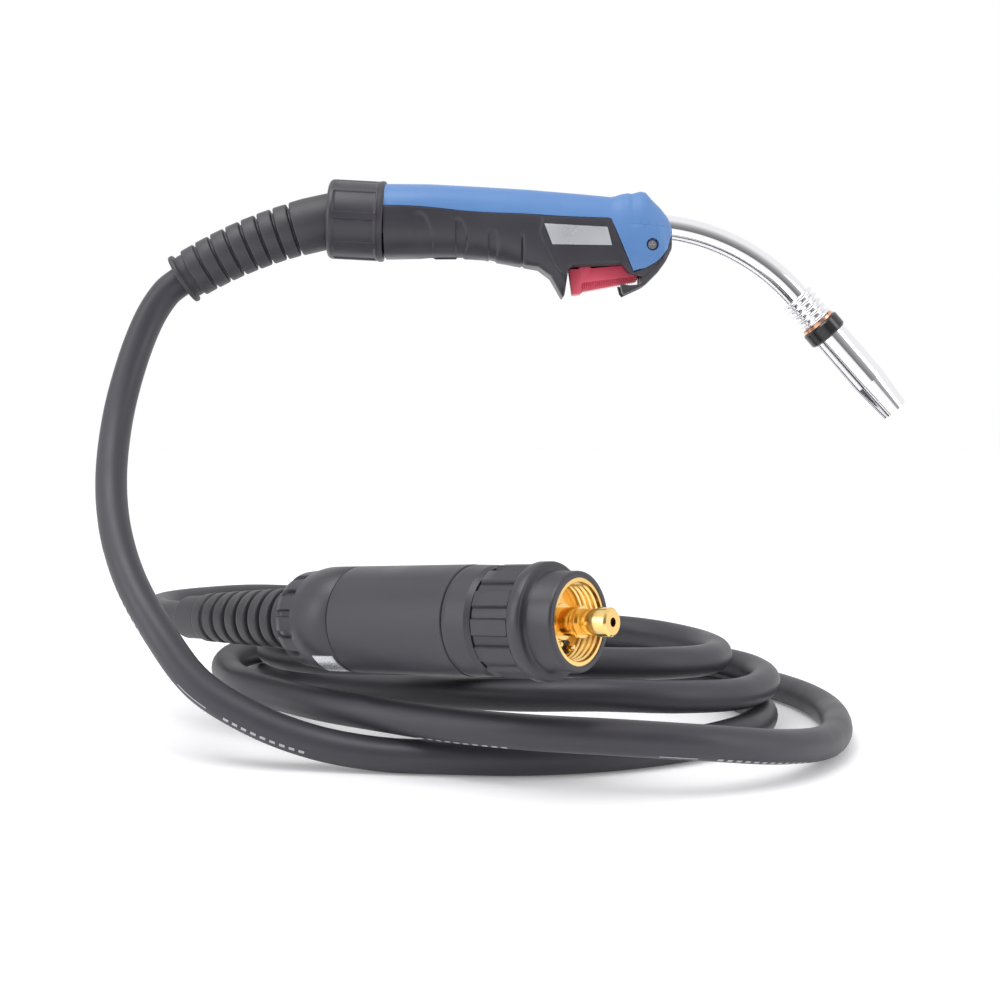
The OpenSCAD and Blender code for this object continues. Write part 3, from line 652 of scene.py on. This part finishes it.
# Recesses for the plates and the screw: their outlines, and how far from the middle their floors are
PLATE = [(44.5, -1), (89.2, -3.5), (92.7, -16.9), (50.4, -16.2)]
PLATE_FLOOR = 19.75
SCREW_X, SCREW_Z, SCREW_RECESS_R = 120.4, -15.8, 4.35
SCREW_FLOOR = 14.6
SCREW_TURNS = [2 * math.pi * i / 48 for i in range(48)]
SCREW_RECESS = [(SCREW_X + SCREW_RECESS_R * math.cos(turn), SCREW_Z + SCREW_RECESS_R * math.sin(turn))
                for turn in SCREW_TURNS]
PAST_HANDLE = 30

# The trigger's slot, the pocket over it that the pulled trigger moves into, and the window in the jaw
TRIGGER_SLOT = [(61.7, -60), (61.7, -25.4), (90, -23), (113.4, -28), (113.4, -60)]
TRIGGER_POCKET = [(66, -27), (66, -8), (91, -8), (91, -27)]
TRIGGER_SLOT_HALF = 9.5
JAW_WINDOW = [(95, -31), (99.2, -29.8), (104.9, -36.1), (113.0, -36.9), (113.2, -43.1), (104.4, -43.8), (95, -42.2)]
JAW_WINDOW_HALF = 26

for side in (-1, 1):
    low, high = sorted((side * PLATE_FLOOR, side * PAST_HANDLE))
    cut(lower_shell, scaled(side_prism(rounded(PLATE, 0.8, 3), low, high)))
    low, high = sorted((side * SCREW_FLOOR, side * PAST_HANDLE))
    cut(top_shell, scaled(side_prism(SCREW_RECESS, low, high)))
cut(lower_shell, scaled(side_prism(TRIGGER_SLOT, -TRIGGER_SLOT_HALF, TRIGGER_SLOT_HALF)))
cut(lower_shell, scaled(side_prism(TRIGGER_POCKET, -TRIGGER_SLOT_HALF, TRIGGER_SLOT_HALF)))
cut(lower_shell, scaled(side_prism(rounded(JAW_WINDOW, 0.7, 3), -JAW_WINDOW_HALF, JAW_WINDOW_HALF)))

# ---------------------------------------------------------------- trigger


def make_trigger():
    """Moulded trigger: a solid block, and a finely ribbed band along its underside."""
    band_top = [(71.8, -41.7), (111.4, -36.6)]
    band_low = [(71.8, -47.6), (111.4, -40.2)]
    block = [(62.8, -32.2), (70, -31.8), (70.5, -26.2), (77, -26.2), (78, -31.4), (99.6, -29.6), (105, -29.8),
             (110.6, -32.4), (111.4, -36.6), (71.8, -41.7), (71.6, -49), (65.2, -49.8)]
    core = [(71.6, -41.2), (111.2, -36.2), (110.6, -39.6), (71.6, -46.6)]
    meshes = [side_prism(rounded(block, 0.8, 3), -9, 9), side_prism(core, -7.9, 7.9)]
    ribs = 25
    pitch = 38.6 / ribs
    for i in range(ribs):
        x = 72.3 + pitch * i
        a, b = x, x + pitch * 0.58
        tooth = [(a, interpolate(band_top, a) + 0.3), (b, interpolate(band_top, b) + 0.3),
                 (b - 0.08, interpolate(band_low, b)), (a + 0.08, interpolate(band_low, a))]
        meshes.append(side_prism(tooth, -8.9, 8.9))
    made = piece("trigger_lever", *scaled(joined(meshes)), RED, body="trigger_body", slot="red_plastic",
                 replaces=("trigger",))
    bevel(made, 0.22, 2)
    return made


make_trigger()

# ---------------------------------------------------------------- clamp nut, boot and kink guard


def clamp_nut_radius(r, z, angle):
    """Eight panels sunk between narrow ribs, on the outside of the nut only."""
    if r < 25:
        return r
    from_rib = (math.degrees(angle) + 22.5) % 45 - 22.5
    across = smooth_step((abs(from_rib) - 5.2) / 1.2)
    along = smooth_step((z + 15.4) / 1.0) * (1 - smooth_step((z - 13.6) / 1.0))
    return r - 0.95 * across * along


def clamp_nut_profile():
    outer = [(27.7 - 3.4 * (1 - math.sin(math.radians(a))) , -19.7 + 3.4 * (1 - math.cos(math.radians(a))))
             for a in range(0, 91, 15)]
    outer += [(27.7, z) for z in (-15.8, -15.4, -14.9, -14.4, -13.5, -8, 0, 8, 12.8, 13.6, 14.1, 14.6, 15.2)]
    outer += [(27.5, 15.6), (27.5, 16.0), (28.1, 16.2), (28.1, 18.9), (27.7, 19.5), (27.2, 19.7)]
    return [(22.3, 19.7), (22.3, -19.7)] + outer


points, faces = lathe_mesh(clamp_nut_profile(), 288, clamp_nut_radius)
piece("clamp_nut_grip", points, faces, BLACK, body="clamp_nut_body", slot="black_plastic",
      replaces=("clamp_nut",), frame_at=REAR, sharp=50)


def boot_station(s):
    """Centre and upward direction of the boot at s mm behind the start of its bend."""
    pitch = BOOT_START + math.degrees(max(s, 0) / BOOT_BEND_R)
    centre = BOOT_CENTRE + BOOT_BEND_R * ahead_up(pitch)
    if s < 0:
        centre = centre - s * ahead_up(pitch - 90)
    return centre, ahead_up(pitch)


def boot_sweep(profile, sides=80):
    """Closed tube along the boot from (distance, radius) pairs, outside first and then back inside."""
    points = []
    for s, r in profile:
        centre, up = boot_station(s)
        for j in range(sides):
            angle = 2 * math.pi * j / sides
            outward = math.cos(angle) * up + math.sin(angle) * Vector((0, 1, 0))
            points.append(tuple((centre + r * outward) * MM))
    return points, grid_faces(len(profile), sides, wrap_rows=True)


SLEEVE_LEN = BOOT_BEND_R * math.radians(SLEEVE_END - BOOT_START)
BOOT_LEN = BOOT_BEND_R * math.radians(BOOT_END - BOOT_START)
HOLE_R = 10.8
points, faces = boot_sweep(rounded(
    [(-15, HOLE_R), (-15, 19.2), (0, 19.25), (SLEEVE_LEN * 0.5, 19.3), (SLEEVE_LEN - 0.2, 19.0),
     (SLEEVE_LEN, HOLE_R)], 1.2, 4))
piece("boot_sleeve_skin", points, faces, GUARD, slot="rubber", replaces=("boot_sleeve",))


def guard_profile():
    """Ribs with round edges, deep narrow gaps, then a collar and a thin flange."""
    profile = [(SLEEVE_LEN + 0.02, HOLE_R), (SLEEVE_LEN + 0.02, 15.4)]
    ribs = 7
    room = BOOT_LEN - SLEEVE_LEN - 9.5
    pitch = room / ribs
    for i in range(ribs):
        start = SLEEVE_LEN + 1.9 + pitch * i
        r = 18.7 - 0.2 * i
        end = start + pitch - 2.1
        profile += [(start, 15.3), (start, r), (end, r), (end, 15.3)]
    tail = SLEEVE_LEN + 1.9 + room
    profile += [(tail, 15.6), (tail + 1.6, 15.6), (BOOT_LEN - 3.6, 15.2), (BOOT_LEN - 3.4, 18.3),
                (BOOT_LEN - 0.2, 18.2), (BOOT_LEN, HOLE_R)]
    return rounded(profile, 1.1, 3)


points, faces = boot_sweep(guard_profile())
piece("handle_guard_skin", points, faces, GUARD, slot="rubber", replaces=("handle_kink_guard",))

# ---------------------------------------------------------------- connector


def grip_radius(r, z, angle):
    """Twelve raised blocks round the grip of the lock nut."""
    if r < 29.5 or z > -27.6 or z < -53.9:
        return r
    from_block = (math.degrees(angle) + 15) % 30 - 15
    flat = 32.4 / math.cos(math.radians(min(abs(from_block), 9)))
    rise = 1 - smooth_step((abs(from_block) - 8.2) / 1.4)
    return r + (flat - r) * rise * smooth_step((z + 53.9) / 1.2)


def lock_nut_profile():
    front = [(24.6, -22), (24.6, -0.2), (24.9, 0.0), (26.8, 0.0), (27.7, -0.3), (28.3, -1.0), (28.5, -2.2),
             (28.55, -16.6), (28.9, -17.6), (29.6, -18), (32.4, -18), (33.4, -18.35), (34.0, -19.3),
             (34.0, -25.6), (33.5, -26.6), (32.6, -27.0), (30.6, -27.2)]
    grip = [(30.0, z) for z in (-27.7, -28.4, -36, -45, -52.4, -53.0, -53.5, -53.88)]
    return front + grip + [(29.6, -54), (23.8, -54), (23.8, -32), (20.9, -32), (20.9, -22)]


points, faces = lathe_mesh(lock_nut_profile(), 288, grip_radius)
piece("lock_nut_grip", points, faces, BLACK, body="lock_nut_body", slot="black_plastic",
      replaces=("lock_nut",), frame_at=FRONT, sharp=50)


def notch_radius(r, z, angle):
    """Fourteen short notches sunk into the back edge of the rear cap."""
    if r < 26.5 or z > -197:
        return r
    from_notch = (math.degrees(angle) + 180 / 14) % (360 / 14) - 180 / 14
    deep = 1 - smooth_step((abs(from_notch) - 3.6) / 1.0)
    return r - deep * min(2.6, (-197 - z) * 0.6) * (1 if z > -214 else 0.6)


cap = [(30.0, -164.7), (32.6, -164.7), (33.0, -165.1), (33.0, -184.5), (32.9, -188), (32.4, -191.5), (31.7, -194.5),
       (31.2, -197)]
cap += [(31.1 - 0.09 * k, -197.6 - 1.0 * k) for k in range(11)]
cap += [(29.9, -209), (29.3, -210.5), (28.6, -212), (27.8, -213.4), (26.8, -214.6), (25.6, -215.5), (24.2, -216),
        (17, -216), (17, -212), (26, -208), (28, -192), (30, -182.5)]
points, faces = lathe_mesh(cap, 224, notch_radius)
piece("rear_cap_skin", points, faces, BLACK, slot="black_plastic", replaces=("rear_cap",),
      frame_at=FRONT, sharp=50)

guard = [(HOLE_R, -204), (HOLE_R, -328), (13.2, -328), (14.2, -327.2), (14.5, -325.8), (14.9, -309)]
guard_ribs = 8
guard_pitch = (309 - 216.5) / guard_ribs
for k in range(guard_ribs):
    z = -309 + guard_pitch * k
    r = 16.3 + 0.52 * k
    guard += [(14.6 + 0.1 * k, z + 0.3), (r - 0.5, z + 1.4), (r, z + 2.8), (r + 0.35, z + guard_pitch - 2.2),
              (14.7 + 0.1 * k, z + guard_pitch - 1.2)]
guard += [(16.5, -214), (16.5, -204)]
turned("connector_guard_skin", guard, GUARD, FRONT, radius=1.3, slot="rubber", replaces=("connector_kink_guard",))
